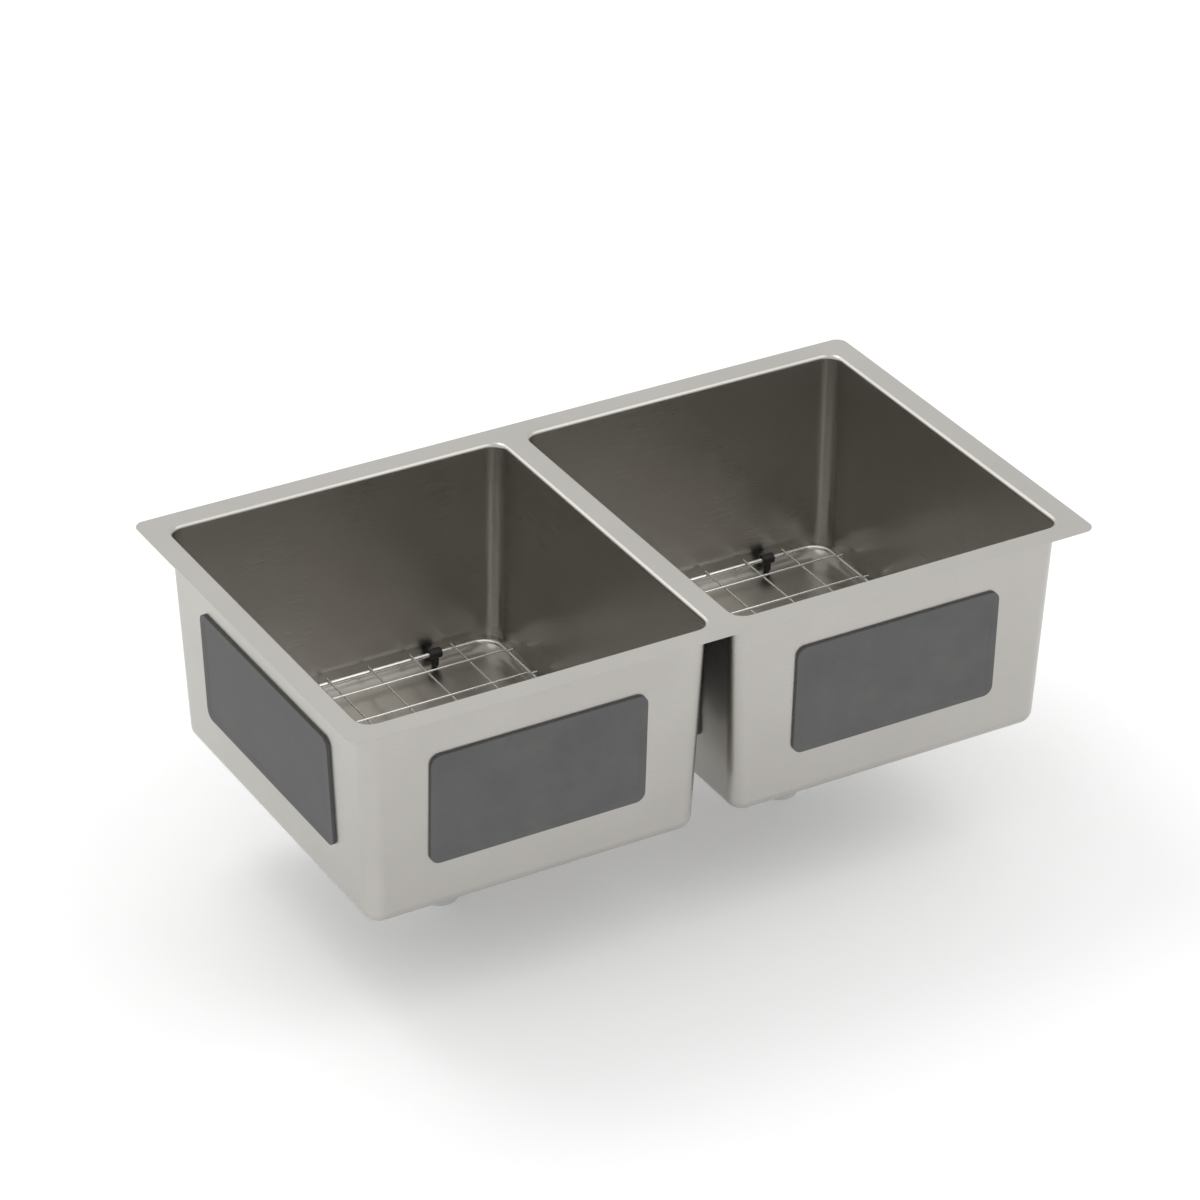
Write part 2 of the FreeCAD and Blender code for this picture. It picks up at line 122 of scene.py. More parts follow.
def resize(x, y, z, centre=(0, 0, 0)):
    """Scales the selection about a point."""
    bpy.ops.transform.resize(value=(x, y, z), center_override=centre)


def extrude(x=0.0, y=0.0, z=0.0):
    """Extrudes the selection and moves what is new."""
    bpy.ops.mesh.extrude_region_move(TRANSFORM_OT_translate={"value": (x, y, z)})


def merge(threshold=NEAR):
    """Merges points that lie together, in the whole open piece."""
    bpy.ops.mesh.select_all(action="SELECT")
    bpy.ops.mesh.remove_doubles(threshold=threshold)


def turn_faces(inside=False):
    """Turns all faces of the open piece outwards, or inwards."""
    bpy.ops.mesh.select_all(action="SELECT")
    bpy.ops.mesh.normals_make_consistent(inside=inside)


def apply_modifier(piece, kind, **settings):
    """Adds a modifier with these settings and applies it."""
    leave_edit_mode()
    modifier = piece.modifiers.new(kind.lower(), kind)
    for setting, value in settings.items():
        setattr(modifier, setting, value)
    bpy.ops.object.modifier_apply(modifier=modifier.name)


def soften(piece, width, segments=2, from_degrees=40):
    """Rounds every edge that is sharper than from_degrees."""
    apply_modifier(piece, "BEVEL", width=width, segments=segments, limit_method="ANGLE",
                   angle_limit=math.radians(from_degrees), harden_normals=False)


def smooth(piece, sharp_degrees=40):
    """Shades a piece smooth, with normals that follow its larger faces."""
    leave_edit_mode()
    bpy.ops.object.shade_smooth_by_angle(angle=math.radians(sharp_degrees))
    apply_modifier(piece, "WEIGHTED_NORMAL", keep_sharp=True)


def fit(piece, node, body, material):
    """Gives a piece its finish, lets it stand for its node and fixes it to its body."""
    piece.data.materials.clear()
    piece.data.materials.append(material)
    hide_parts(node)
    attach(piece, body)


def link(tree, *sockets):
    """Links node outputs to inputs, in pairs."""
    for output, target in zip(sockets[::2], sockets[1::2]):
        tree.links.new(output, target)


def noise(tree, scale, detail, stretch=(1, 1, 1), roughness=0.5):
    """A noise pattern on the piece's own coordinates, drawn out by stretch."""
    place = tree.nodes.new("ShaderNodeTexCoord")
    mapping = tree.nodes.new("ShaderNodeMapping")
    mapping.inputs["Scale"].default_value = stretch
    pattern = tree.nodes.new("ShaderNodeTexNoise")
    pattern.inputs["Scale"].default_value = scale
    pattern.inputs["Detail"].default_value = detail
    pattern.inputs["Roughness"].default_value = roughness
    link(tree, place.outputs["Object"], mapping.inputs["Vector"],
         mapping.outputs["Vector"], pattern.inputs["Vector"])
    return pattern.outputs["Fac"]


def ranged(tree, value, low, high, from_low=0.3, from_high=0.7):
    """Maps a pattern onto low to high."""
    node = tree.nodes.new("ShaderNodeMapRange")
    for socket, number in (("From Min", from_low), ("From Max", from_high), ("To Min", low), ("To Max", high)):
        node.inputs[socket].default_value = number
    link(tree, value, node.inputs["Value"])
    return node.outputs["Result"]


MIX_FACTOR, NUMBER_A, NUMBER_B = 0, 2, 3            # where a Mix node keeps its sockets
COLOUR_A, COLOUR_B, COLOUR_RESULT = 6, 7, 2


def blended(tree, factor, first, second):
    """A colour between two others."""
    node = tree.nodes.new("ShaderNodeMix")
    node.data_type = "RGBA"
    node.inputs[COLOUR_A].default_value = (*first, 1)
    node.inputs[COLOUR_B].default_value = (*second, 1)
    link(tree, factor, node.inputs[MIX_FACTOR])
    return node.outputs[COLOUR_RESULT]


def bumped(tree, height, strength, distance):
    """A normal that follows a height pattern."""
    node = tree.nodes.new("ShaderNodeBump")
    node.inputs["Strength"].default_value = strength
    node.inputs["Distance"].default_value = distance
    link(tree, height, node.inputs["Height"])
    return node.outputs["Normal"]


def new_material(name, metallic):
    """A node material, its tree and its shader."""
    material = bpy.data.materials.new(name)
    material.use_nodes = True
    shader = material.node_tree.nodes["Principled BSDF"]
    shader.inputs["Metallic"].default_value = metallic
    return material, material.node_tree, shader


def brushed_steel():
    """Satin stainless steel: fine lines run round the walls and along the flange, under faint smudges."""
    material, tree, shader = new_material("satin steel", 1.0)
    wall_lines = noise(tree, 1, 3, stretch=(30, 30, 4500))
    deck_lines = noise(tree, 1, 3, stretch=(30, 4500, 30))
    facing = tree.nodes.new("ShaderNodeNewGeometry")
    parts = tree.nodes.new("ShaderNodeSeparateXYZ")
    upward = tree.nodes.new("ShaderNodeMath")
    upward.operation = "ABSOLUTE"
    lines = tree.nodes.new("ShaderNodeMix")
    link(tree, facing.outputs["Normal"], parts.inputs["Vector"], parts.outputs["Z"], upward.inputs[0])
    link(tree, ranged(tree, upward.outputs[0], 0, 1, 0.4, 0.8), lines.inputs[MIX_FACTOR],
         wall_lines, lines.inputs[NUMBER_A], deck_lines, lines.inputs[NUMBER_B])
    smudges = noise(tree, 7, 4, roughness=0.6)
    roughness = tree.nodes.new("ShaderNodeMath")
    roughness.operation = "ADD"
    link(tree, ranged(tree, lines.outputs[0], 0.27, 0.31), roughness.inputs[0],
         ranged(tree, smudges, -0.015, 0.03), roughness.inputs[1],
         roughness.outputs[0], shader.inputs["Roughness"],
         blended(tree, ranged(tree, smudges, 0, 1), (0.485, 0.47, 0.44), (0.455, 0.44, 0.41)),
         shader.inputs["Base Color"],
         bumped(tree, lines.outputs[0], 0.06, 0.01 * MM), shader.inputs["Normal"])
    return material


def opening_at(z):
    """Length and width of a bowl's opening at height z."""
    lean = 2 * z * math.tan(WALL_DRAFT)
    return BOWL_OPENING[0] + lean, BOWL_OPENING[1] + lean


def leaning_walls(name, top, bottom):
    """Starts a piece as a bowl's four walls between two heights, with rounded corners and closed below."""
    piece = begin(name, bpy.ops.mesh.primitive_cube_add, size=1)
    resize(1, 1, top - bottom)
    move(z=(top + bottom) / 2)
    pick("EDGE", lambda e: level(e, e.verts[0].co.z))
    bpy.ops.mesh.subdivide(number_cuts=STRIPS - 1)
    for z in (top, bottom):
        pick("FACE", lambda f: level(f, z))
        resize(*opening_at(z), 1, (0, 0, z))
    pick("FACE", lambda f: level(f, top))
    bpy.ops.mesh.delete(type="FACE")
    length, width = opening_at((top + bottom) / 2)

    def upright_corner(edge):
        """Whether an edge stands in a corner between two walls."""
        at = middle(edge)
        return abs(abs(at.x) - length / 2) < NEAR and abs(abs(at.y) - width / 2) < NEAR

    pick("EDGE", upright_corner)
    bpy.ops.mesh.bevel(offset=CORNER_RADIUS, segments=STRIPS, affect="EDGES")
    return piece


def spread_flange():
    """Extrudes the open piece's rim outwards, to the flange's edge and to the divider's middle at x < 0."""
    pick("EDGE", lambda e: e.is_boundary and level(e, 0))
    extrude()
    mesh = bmesh.from_edit_mesh(bpy.context.edit_object.data)
    mesh.verts.index_update()
    rim = {v.index: v.co.copy() for v in mesh.verts if v.select}
    half_length, half_width = BOWL_OPENING[0] / 2, BOWL_OPENING[1] / 2
    flat_length, flat_width = half_length - CORNER_RADIUS, half_width - CORNER_RADIUS

    def pick_rim(test):
        """Selects the extruded rim's points whose first places pass the test."""
        pick("VERT", lambda v: v.index in rim and test(rim[v.index]))

    for sx, margin in ((1, FLANGE_MARGIN), (-1, DIVIDER / 2)):
        radius = FLANGE_CORNER if sx > 0 else 0
        for sy in (1, -1):
            pick_rim(lambda at: sx * at.x > flat_length - NEAR and sy * at.y > flat_width - NEAR)
            resize(radius / CORNER_RADIUS, radius / CORNER_RADIUS, 1, (sx * flat_length, sy * flat_width, 0))
            move(x=sx * (margin + CORNER_RADIUS - radius), y=sy * (FLANGE_MARGIN + CORNER_RADIUS - radius))
        pick_rim(lambda at: sx * at.x > half_length - NEAR and abs(at.y) < flat_width - NEAR)
        move(x=sx * margin)
    for sy in (1, -1):
        pick_rim(lambda at: sy * at.y > half_width - NEAR and abs(at.x) < flat_length - NEAR)
        move(y=sy * FLANGE_MARGIN)


steel = brushed_steel()
flange = leaning_walls("sink_flange", 0, -WELD_DROP)
pick("FACE", lambda f: level(f, -WELD_DROP))
bpy.ops.mesh.delete(type="FACE")
spread_flange()
pick("EDGE", lambda e: level(e, 0) and len(e.link_faces) == 2 and e.calc_face_angle() > math.radians(60))
bpy.ops.mesh.bevel(offset=RIM_RADIUS * math.tan(math.radians(45) - WALL_DRAFT / 2), segments=6, affect="EDGES")
turn_faces()
move(x=CENTRES["right"])
bpy.ops.mesh.duplicate()
resize(-1, 1, 1)
bpy.ops.mesh.flip_normals()
merge()
apply_modifier(flange, "SOLIDIFY", thickness=SHEET, offset=-1, use_even_offset=True)
soften(flange, SHEET_EDGE, from_degrees=70)
smooth(flange)
fit(flange, "flange", "sink", steel)


# ------------------------------------------------------------------ bowls
# Each bowl is drawn from 1.2 mm stainless steel, welded to the flange's rim and ground flush. Its floor falls
# to a sunk seat round the drain hole. The bowls have the flange's satin finish.

BOWL_DEPTH = 229 * MM
FLOOR_RADIUS = 13 * MM
FLOOR_FALL = 3 * MM
RECESS_RADIUS = 60 * MM
RECESS_DEPTH = 2.5 * MM
RECESS_EDGE = 0.9 * MM
DRAIN_HOLE = 44.5 * MM
FLOOR_END = -BOWL_DEPTH - FLOOR_FALL
SEAT = FLOOR_END - RECESS_DEPTH


def on_ring(edge, radius, z):
    """Whether an edge is part of a circle round the Z axis, at height z."""
    return level(edge, z) and all(abs(point.co.xy.length - radius) < NEAR for point in edge.verts)


def pair(piece, node, body, material):
    """Puts a finished piece, made at x = 0, in the right-hand bowl and its copy in the left-hand one."""
    leave_edit_mode()
    name = piece.name
    bpy.ops.object.duplicate()
    for side, one in (("left", bpy.context.object), ("right", piece)):
        choose(one)
        move(x=CENTRES[side])
        bpy.ops.object.transform_apply(location=True, rotation=False, scale=False)
        one.name = one.data.name = name + "_" + side
        fit(one, node + "_" + side, body if body == "sink" else body + "_" + side, material)


bowl = leaning_walls("deep_bowl", -WELD_DROP, -BOWL_DEPTH)
pick("FACE", lambda f: level(f, -BOWL_DEPTH))
bpy.ops.mesh.region_to_loop()
bpy.ops.mesh.bevel(offset=FLOOR_RADIUS * math.tan(math.radians(45) - WALL_DRAFT / 2), segments=8,
                   affect="EDGES")
pick("FACE", lambda f: level(f, -BOWL_DEPTH))
bpy.ops.mesh.delete(type="FACE")
bpy.ops.mesh.primitive_circle_add(vertices=8 * STRIPS, radius=RECESS_RADIUS, location=(0, 0, FLOOR_END))
pick("EDGE", lambda e: not len(e.link_faces) > 1 and (level(e, -BOWL_DEPTH) or level(e, FLOOR_END)))
bpy.ops.mesh.bridge_edge_loops(number_cuts=4, interpolation="LINEAR")
pick("EDGE", lambda e: e.is_boundary and level(e, FLOOR_END))
extrude(z=-RECESS_DEPTH)
extrude()
resize(DRAIN_HOLE / RECESS_RADIUS, DRAIN_HOLE / RECESS_RADIUS, 1)
pick("EDGE", lambda e: on_ring(e, RECESS_RADIUS, FLOOR_END) or on_ring(e, RECESS_RADIUS, SEAT))
bpy.ops.mesh.bevel(offset=RECESS_EDGE, segments=3, affect="EDGES")
turn_faces(inside=True)
apply_modifier(bowl, "SOLIDIFY", thickness=SHEET, offset=-1, use_even_offset=True)
smooth(bowl)
pair(bowl, "bowl", "sink", steel)


# ------------------------------------------------------------------ damping pads
# Sheets of soft grey rubber, 3 mm thick, are glued to the outsides of each bowl: one on every wall, and one
# under the floor with a round hole that clears the drain. They quieten running water.

PAD_THICKNESS = 3 * MM
PAD_HEIGHT = 120 * MM
PAD_LENGTHS = {"long": 230 * MM, "side": 270 * MM}
PAD_BELOW_RIM = 55 * MM
PAD_CORNER = 10 * MM
PAD_BORDER = 7 * MM
PAD_EMBOSS = 0.5 * MM
PAD_EDGE = 0.7 * MM
FLOOR_PAD = (270 * MM, 310 * MM)
FLOOR_PAD_CORNER = 40 * MM
FLOOR_PAD_HOLE = 76 * MM


def sheet_rubber():
    """Matt grey rubber with a fine grain and faint dust."""
    material, tree, shader = new_material("damping rubber", 0.0)
    grain = noise(tree, 900, 3, roughness=0.6)
    dust = noise(tree, 18, 5, roughness=0.65)
    link(tree, blended(tree, ranged(tree, dust, 0, 1), (0.085, 0.085, 0.09), (0.12, 0.118, 0.115)),
         shader.inputs["Base Color"], ranged(tree, dust, 0.62, 0.78), shader.inputs["Roughness"],
         bumped(tree, grain, 0.5, 0.12 * MM), shader.inputs["Normal"])
    return material


def wall_pad(length, wall, turn):
    """Shapes the cube that was just added at the origin into a pad on one wall of the bowl."""
    resize(length, PAD_THICKNESS, PAD_HEIGHT)

    def is_new(item):
        """Whether an edge or a face belongs to this pad, which is still at the origin."""
        return abs(middle(item).y) < PAD_THICKNESS

    pick("EDGE", lambda e: is_new(e) and abs(e.verts[0].co.y - e.verts[1].co.y) > NEAR)
    bpy.ops.mesh.bevel(offset=PAD_CORNER, segments=6, affect="EDGES")
    pick("FACE", lambda f: is_new(f) and f.normal.y > 0.9)
    bpy.ops.mesh.inset(thickness=PAD_BORDER)
    bpy.ops.mesh.inset(thickness=2 * PAD_EMBOSS, depth=-PAD_EMBOSS)
    pick("VERT", lambda v: abs(v.co.y) < 2 * PAD_THICKNESS)
    bpy.ops.transform.rotate(value=WALL_DRAFT, orient_axis="X", center_override=(0, 0, 0))
    z = -PAD_BELOW_RIM - PAD_HEIGHT / 2
    move(y=opening_at(z)[wall] / 2 + SHEET + PAD_THICKNESS / 2, z=z)
    bpy.ops.transform.rotate(value=math.radians(turn), orient_axis="Z", center_override=(0, 0, 0))


rubber_sheet = sheet_rubber()
pads = begin("sound_pads", bpy.ops.mesh.primitive_cube_add, size=1)
wall_pad(PAD_LENGTHS["long"], 1, 0)
for length, wall, turn in (("side", 0, 90), ("long", 1, 180), ("side", 0, 270)):
    bpy.ops.mesh.primitive_cube_add(size=1)
    wall_pad(PAD_LENGTHS[length], wall, turn)
soften(pads, PAD_EDGE)
smooth(pads)
pair(pads, "wall_pads", "sink", rubber_sheet)

pad = begin("floor_sound_pad", bpy.ops.mesh.primitive_plane_add, size=1)
resize(*FLOOR_PAD, 1)
bpy.ops.mesh.bevel(offset=FLOOR_PAD_CORNER, segments=STRIPS, affect="VERTICES")
pick("EDGE", lambda e: e.calc_length() > FLOOR_PAD_CORNER)
bpy.ops.mesh.subdivide(number_cuts=STRIPS - 1)
bpy.ops.mesh.select_all(action="SELECT")
bpy.ops.mesh.delete(type="ONLY_FACE")
bpy.ops.mesh.primitive_circle_add(vertices=8 * STRIPS, radius=FLOOR_PAD_HOLE)
bpy.ops.mesh.select_all(action="SELECT")
bpy.ops.mesh.bridge_edge_loops(number_cuts=4, interpolation="LINEAR")
turn_faces()
move(x=CENTRES["right"], z=SEAT)
apply_modifier(pad, "SHRINKWRAP", target=bowl, wrap_method="PROJECT", use_project_z=True)
apply_modifier(pad, "SOLIDIFY", thickness=PAD_THICKNESS, offset=-1)
soften(pad, PAD_EDGE)
bpy.ops.object.mode_set(mode="EDIT")
bpy.ops.mesh.select_all(action="SELECT")
move(x=-CENTRES["right"])
smooth(pad)
pair(pad, "floor_pad", "sink", rubber_sheet)


# ------------------------------------------------------------------ basket strainers
# A polished stainless steel cup is let into each drain hole: its flange seats in the floor's recess, and its
# threaded cup and outlet reach below. A cross of bars is welded in the outlet and guides the stopper's stem.

BODY_FLANGE = 57 * MM
BODY_TOP = SEAT + 1.6 * MM
CUP_RADIUS = 42.5 * MM
CUP_WALL = 1.4 * MM
CUP_FLOOR = SEAT - 42 * MM
CUP_BEND = 3 * MM
RIM_STEP_RADIUS = 45 * MM
RIM_STEP = BODY_TOP - 0.8 * MM
NECK_RADIUS = 23.5 * MM
NECK_BORE = 20 * MM
NECK_TOP = CUP_FLOOR - CUP_WALL
NECK_END = NECK_TOP - 20 * MM
THREAD_PITCH = 1.8 * MM
THREAD_DEPTH = 0.55 * MM
THREAD_CREST = (0.42 * THREAD_PITCH, 0.58 * THREAD_PITCH)   # where a turn's flat crest begins and ends
CROSS_BAR = (4 * MM, 3 * MM)
CROSS_TOP = CUP_FLOOR - 6 * MM
CROSS_BOSS = 7 * MM
CROSS_HOLE = 4.5 * MM
TURNED_SIDES = 96


def eased(outline, width, closed=True, steps=3):
    """Rounds the corners of an outline of (radius, height) points. A third number sets a corner's own width."""
    points = []
    for i, (radius, z, *own) in enumerate(outline):
        corner = Vector((radius, z))
        reach = own[0] if own else width
        if reach == 0 or not closed and i in (0, len(outline) - 1):
            points.append(corner)
            continue
        before = Vector(outline[i - 1][:2]) - corner
        after = Vector(outline[(i + 1) % len(outline)][:2]) - corner
        start = corner + before.normalized() * min(reach, before.length * 0.45)
        end = corner + after.normalized() * min(reach, after.length * 0.45)
        for step in range(steps + 1):
            t = step / steps
            points.append(start * (1 - t) ** 2 + corner * 2 * t * (1 - t) + end * t ** 2)
    return points


def thread(radius, high, low):
    """The points of a screw thread's outline, from its upper end to its lower one."""
    turns = int((high - low) / THREAD_PITCH)
    points = []
    for i in range(turns):
        z = high - (high - low - turns * THREAD_PITCH) / 2 - i * THREAD_PITCH
        points += [(radius - THREAD_DEPTH, z, 0), *((radius, z - crest, 0) for crest in THREAD_CREST)]
    return points + [(radius - THREAD_DEPTH, z - THREAD_PITCH, 0)]


def turned(name, outline, width=0.3 * MM, closed=True, sides=TURNED_SIDES):
    """Extrudes a circle from point to point of an eased outline. If it isn't closed, flat caps end it."""
    points = eased(outline, width, closed)
    piece = begin(name, bpy.ops.mesh.primitive_circle_add, vertices=sides, radius=points[0].x)
    move(z=points[0].y)
    for now, following in zip(points, points[1:] + points[:1] if closed else points[1:]):
        extrude()
        resize(following.x / now.x, following.x / now.x, 1)
        move(z=following.y - now.y)
    if closed:
        merge(NEAR / 10)
    else:
        bpy.ops.mesh.select_all(action="SELECT")
        bpy.ops.mesh.fill_holes(sides=0)
    turn_faces()
    return piece


def polished_steel():
    """Bright stainless steel with hair-fine scratches and a breath of water marks."""
    material, tree, shader = new_material("polished steel", 1.0)
    marks = noise(tree, 60, 5, roughness=0.65)
    scratches = noise(tree, 1, 2, stretch=(260, 1900, 260))
    link(tree, blended(tree, ranged(tree, marks, 0, 1), (0.63, 0.62, 0.605), (0.58, 0.57, 0.555)),
         shader.inputs["Base Color"], ranged(tree, marks, 0.14, 0.24), shader.inputs["Roughness"],
         bumped(tree, scratches, 0.08, 0.01 * MM), shader.inputs["Normal"])
    return material


polished = polished_steel()
body = turned("drain_cup", [
    (NECK_BORE, NECK_END), (NECK_BORE, CUP_FLOOR, 1.2 * MM), (CUP_RADIUS - CUP_WALL, CUP_FLOOR, CUP_BEND),
    (CUP_RADIUS - CUP_WALL, RIM_STEP), (RIM_STEP_RADIUS, RIM_STEP), (RIM_STEP_RADIUS, BODY_TOP),
    (BODY_FLANGE - 2.5 * MM, BODY_TOP), (BODY_FLANGE, SEAT + 0.5 * MM), (BODY_FLANGE, SEAT),
    (CUP_RADIUS, SEAT), *thread(CUP_RADIUS, SEAT - 2 * MM, NECK_TOP + 3 * MM),
    (CUP_RADIUS - THREAD_DEPTH, NECK_TOP, 1.5 * MM), (NECK_RADIUS - THREAD_DEPTH, NECK_TOP),
    *thread(NECK_RADIUS, NECK_TOP - 1.5 * MM, NECK_END + 1.5 * MM), (NECK_RADIUS - THREAD_DEPTH, NECK_END)])
smooth(body, sharp_degrees=32)
pair(body, "strainer_body", "sink", polished)

bar_width, bar_height = CROSS_BAR
cross = turned("stem_guide", [
    (CROSS_HOLE, CROSS_TOP - bar_height, 0), (CROSS_BOSS, CROSS_TOP - bar_height, 0),
    (CROSS_BOSS, CROSS_TOP, 0), (CROSS_HOLE, CROSS_TOP, 0)], sides=48)
for turn in range(4):
    outwards = Vector((math.cos(turn * math.pi / 2), math.sin(turn * math.pi / 2), 0))
    sideways = Vector((-outwards.y, outwards.x, 0))
    pick("FACE", lambda f: middle(f).dot(outwards) > CROSS_BOSS * 0.9 and f.normal.dot(outwards) > 0.5
         and abs(middle(f).dot(sideways)) < bar_width / 2)
    extrude()
    resize(1 - abs(outwards.x), 1 - abs(outwards.y), 1, outwards * NECK_BORE)
soften(cross, 0.35 * MM)
smooth(cross)
pair(cross, "strainer_cross", "sink", polished)


# ------------------------------------------------------------------ gasket, washers and locknut
# Under each floor a black rubber gasket and a pressed fibre washer lie round the cup. A cast brass nut with
# eight lugs for a spanner pulls them tight. A polythene washer seals the tailpiece against the outlet.

GASKET = 3 * MM
FIBRE_WASHER = 0.8 * MM
WASHER_RADIUS = 56 * MM
WASHER_HOLE = CUP_RADIUS + 0.5 * MM
GASKET_BOTTOM = SEAT - SHEET - GASKET
LOCKNUT_TOP = GASKET_BOTTOM - FIBRE_WASHER
LOCKNUT_BOTTOM = LOCKNUT_TOP - 11 * MM
LOCKNUT_RADIUS = 49.5 * MM
LOCKNUT_COLLAR = 3 * MM
LUG_REACH = 54.5 * MM
LUGS = 8
FACES_PER_LUG = 10                  # faces of the nut's wall for each lug and its gap; two make the lug
TAIL_WASHER = 2 * MM
TAIL_FLANGE_RADIUS = 23.2 * MM


def moulded_rubber():
    """Black moulded rubber, nearly smooth, with a faint bloom."""
    material, tree, shader = new_material("moulded rubber", 0.0)
    bloom = noise(tree, 45, 4, roughness=0.6)
    grain = noise(tree, 1400, 2)
    link(tree, blended(tree, ranged(tree, bloom, 0, 1), (0.008, 0.008, 0.0085), (0.016, 0.016, 0.0165)),
         shader.inputs["Base Color"], ranged(tree, bloom, 0.42, 0.58), shader.inputs["Roughness"],
         bumped(tree, grain, 0.25, 0.05 * MM), shader.inputs["Normal"])
    return material


def pressed_fibre():
    """Red-brown vulcanised fibre with short lighter threads."""
    material, tree, shader = new_material("pressed fibre", 0.0)
    threads = noise(tree, 1, 4, stretch=(500, 1600, 900), roughness=0.7)
    link(tree, blended(tree, ranged(tree, threads, 0, 1), (0.34, 0.09, 0.05), (0.5, 0.17, 0.1)),
         shader.inputs["Base Color"], ranged(tree, threads, 0.6, 0.8), shader.inputs["Roughness"],
         bumped(tree, threads, 0.3, 0.08 * MM), shader.inputs["Normal"])
    return material


def cast_brass():
    """Dull cast brass: a sandy skin, darker where it has tarnished."""
    material, tree, shader = new_material("cast brass", 1.0)
    tarnish = noise(tree, 38, 5, roughness=0.65)
    sand = noise(tree, 700, 3, roughness=0.6)
    link(tree, blended(tree, ranged(tree, tarnish, 0, 1), (0.68, 0.5, 0.25), (0.46, 0.33, 0.17)),
         shader.inputs["Base Color"], ranged(tree, tarnish, 0.36, 0.52), shader.inputs["Roughness"],
         bumped(tree, sand, 0.4, 0.12 * MM), shader.inputs["Normal"])
    return material


def polythene():
    """Slightly waxy white plastic."""
    material, tree, shader = new_material("polythene", 0.0)
    wax = noise(tree, 90, 3)
    link(tree, blended(tree, ranged(tree, wax, 0, 1), (0.82, 0.82, 0.8), (0.76, 0.76, 0.73)),
         shader.inputs["Base Color"], ranged(tree, wax, 0.38, 0.5), shader.inputs["Roughness"])
    shader.inputs["Subsurface Weight"].default_value = 0.15
    shader.inputs["Subsurface Radius"].default_value = (0.6 * MM, 0.6 * MM, 0.5 * MM)
    return material


def washer(name, inner, outer, bottom, thickness, width):
    """A flat ring with eased edges."""
    top = bottom + thickness
    ring = turned(name, [(inner, bottom), (outer, bottom), (outer, top), (inner, top)], width)
    smooth(ring)
    return ring


black_rubber, brass = moulded_rubber(), cast_brass()
gasket = washer("rubber_gasket", WASHER_HOLE, WASHER_RADIUS, GASKET_BOTTOM, GASKET, 0.9 * MM)
pair(gasket, "strainer_gasket", "sink", black_rubber)
fibre_ring = washer("fibre_ring", WASHER_HOLE, WASHER_RADIUS, LOCKNUT_TOP, FIBRE_WASHER, 0.15 * MM)
pair(fibre_ring, "friction_washer", "sink", pressed_fibre())
tail_seal = washer("tail_seal", NECK_BORE, TAIL_FLANGE_RADIUS, NECK_END - TAIL_WASHER, TAIL_WASHER, 0.5 * MM)
pair(tail_seal, "tailpiece_washer", "sink", polythene())

collar_bottom = LOCKNUT_TOP - LOCKNUT_COLLAR
locknut = turned("drain_locknut", [
    (CUP_RADIUS, LOCKNUT_BOTTOM, 0), (LOCKNUT_RADIUS, LOCKNUT_BOTTOM, 0), (LOCKNUT_RADIUS, collar_bottom, 0),
    (LUG_REACH, collar_bottom, 0), (LUG_REACH, LOCKNUT_TOP, 0), (CUP_RADIUS, LOCKNUT_TOP, 0)],
    sides=LUGS * FACES_PER_LUG)


def in_lug(face):
    """Whether a face lies in the two faces' width round a lug's middle."""
    turn = math.atan2(middle(face).y, middle(face).x) / (2 * math.pi) * LUGS
    return abs(turn - round(turn)) < 1 / FACES_PER_LUG


pick("FACE", lambda f: in_lug(f) and abs(middle(f).xy.length - LOCKNUT_RADIUS) < 0.2 * MM
     and middle(f).z < collar_bottom)
extrude()
resize(LUG_REACH / LOCKNUT_RADIUS, LUG_REACH / LOCKNUT_RADIUS, 1)
pick("FACE", lambda f: in_lug(f) and level(f, collar_bottom) and middle(f).xy.length > LOCKNUT_RADIUS)
bpy.ops.mesh.delete(type="FACE")
merge()
soften(locknut, 0.6 * MM, from_degrees=50)
smooth(locknut, sharp_degrees=35)
pair(locknut, "strainer_locknut", "sink", brass)


# ------------------------------------------------------------------ tailpiece and slip nut
# A drawn brass tube, chromium plated, hangs from each outlet by its rolled flange. A chromed hexagonal nut
# runs up the outlet's thread and clamps it, with a lip that clears the tube's bend.

TAIL_RADIUS = 19.05 * MM
TAIL_WALL = 1 * MM
TAIL_TOP = NECK_END - TAIL_WASHER
TAIL_FLANGE = 1.5 * MM
TAIL_BEND = 2.3 * MM
TAIL_END = TAIL_TOP - 66 * MM
NUT_THREAD = NECK_RADIUS + 0.15 * MM
NUT_FLATS = 2 * (NUT_THREAD + 4 * MM)
NUT_HEIGHT = 20 * MM
NUT_LIP = 2 * MM
NUT_BEVEL = 1.5 * MM
NUT_EDGE = 0.005                    # share of the size across flats by which edges are softened
NUT_HOLE = TAIL_RADIUS + TAIL_BEND + 0.2 * MM
NUT_BOTTOM = TAIL_TOP - TAIL_FLANGE - NUT_LIP


def chrome_plate():
    """Bright chromium plate with a few dull specks."""
    material, tree, shader = new_material("chrome plate", 1.0)
    specks = noise(tree, 150, 4, roughness=0.7)
    link(tree, blended(tree, ranged(tree, specks, 0, 1, 0.55, 0.75), (0.72, 0.73, 0.74), (0.62, 0.62, 0.62)),
         shader.inputs["Base Color"], ranged(tree, specks, 0.07, 0.2, 0.5, 0.75), shader.inputs["Roughness"])
    return material


def combined(piece, other, operation):
    """Makes a piece the active one, and cuts it by or crosses it with another, which is used up."""
    leave_edit_mode()
    choose(piece)
    apply_modifier(piece, "BOOLEAN", object=other, operation=operation, solver="EXACT")
    bpy.data.objects.remove(other)


